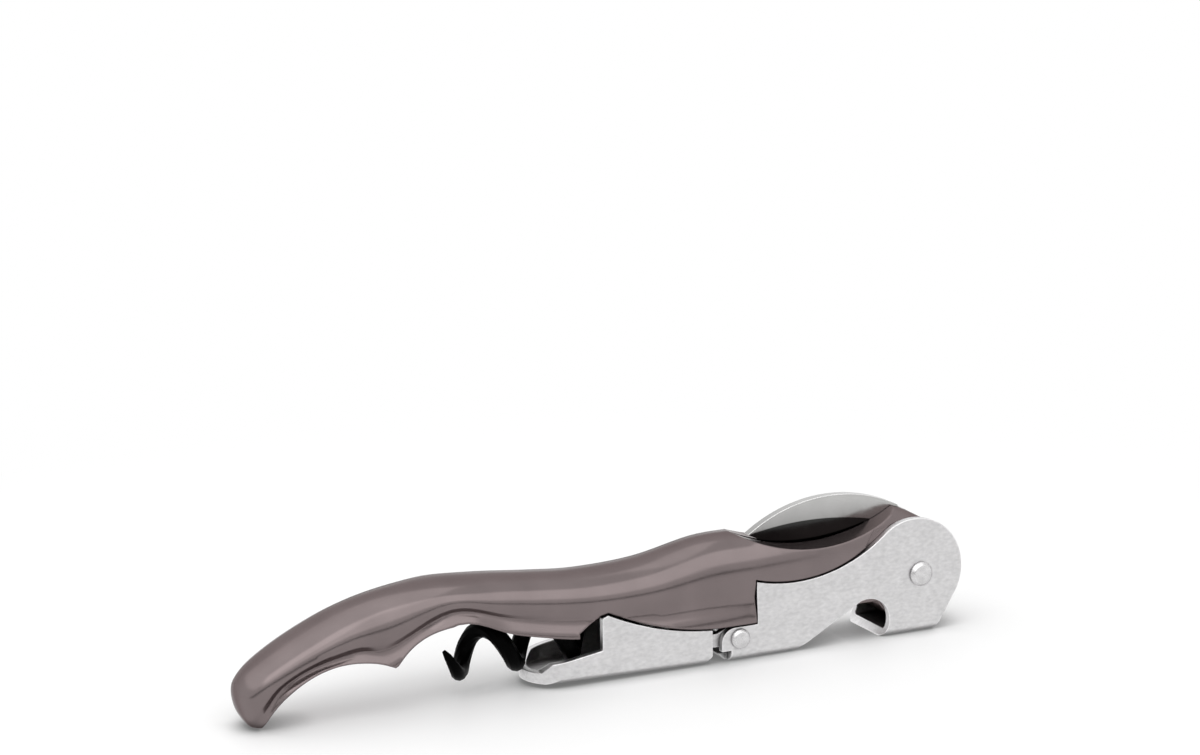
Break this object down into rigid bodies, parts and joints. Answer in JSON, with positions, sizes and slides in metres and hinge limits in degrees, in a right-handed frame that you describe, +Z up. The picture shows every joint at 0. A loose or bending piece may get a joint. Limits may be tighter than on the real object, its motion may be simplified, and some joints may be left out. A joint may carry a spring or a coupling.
{
  "type": "corkscrew",
  "caption": "Folding double-lever corkscrew: curved handle with a worm, a knife blade and a stepped, hinged bottle lever with an opener notch.",
  "frame": {"origin": "under the middle of the folded tool, on the plane it rests on", "axes": "+X along the handle to the head, +Y across the tool to the side of the knife's nail nick, +Z up from the levers to the knife"},
  "size_m": [0.1186, 0.0136, 0.0229],
  "materials": {
    "handle_lacquer": "gloss taupe lacquer",
    "blade_steel": "polished",
    "lever_steel": "satin",
    "rivet_steel": "satin",
    "worm_black": "black non-stick coat"
  },
  "bodies": {
    "handle": {"handle_body": "handle_lacquer", "main_rivet": "rivet_steel", "worm_pin": "worm_black"},
    "upper_lever": {"upper_lever": "lever_steel", "lever_rivet": "rivet_steel"},
    "lower_lever": {"lower_lever": "lever_steel"},
    "worm": {"worm": "worm_black"},
    "knife": {"knife_blade": "blade_steel"}
  },
  "joints": [
    {"name": "lever_fold", "type": "hinge", "parent": "handle", "child": "upper_lever", "pos_m": [0.0512, 0, 0.0096], "axis": [0, -1, 0], "range_deg": [0, 120]},
    {"name": "lower_fold", "type": "hinge", "parent": "upper_lever", "child": "lower_lever", "pos_m": [0.0191, 0, 0.0036], "axis": [0, -1, 0], "range_deg": [0, 22]},
    {"name": "worm_fold", "type": "hinge", "parent": "handle", "child": "worm", "pos_m": [0.0334, 0, 0.0078], "axis": [0, -1, 0], "range_deg": [0, 105]},
    {"name": "knife_fold", "type": "hinge", "parent": "handle", "child": "knife", "pos_m": [0.0512, 0, 0.0096], "axis": [0, 1, 0], "range_deg": [0, 158]}
  ],
  "couplings": [
    {"joint": "worm_fold", "follows": "lever_fold", "ratio": 0.87}
  ]
}
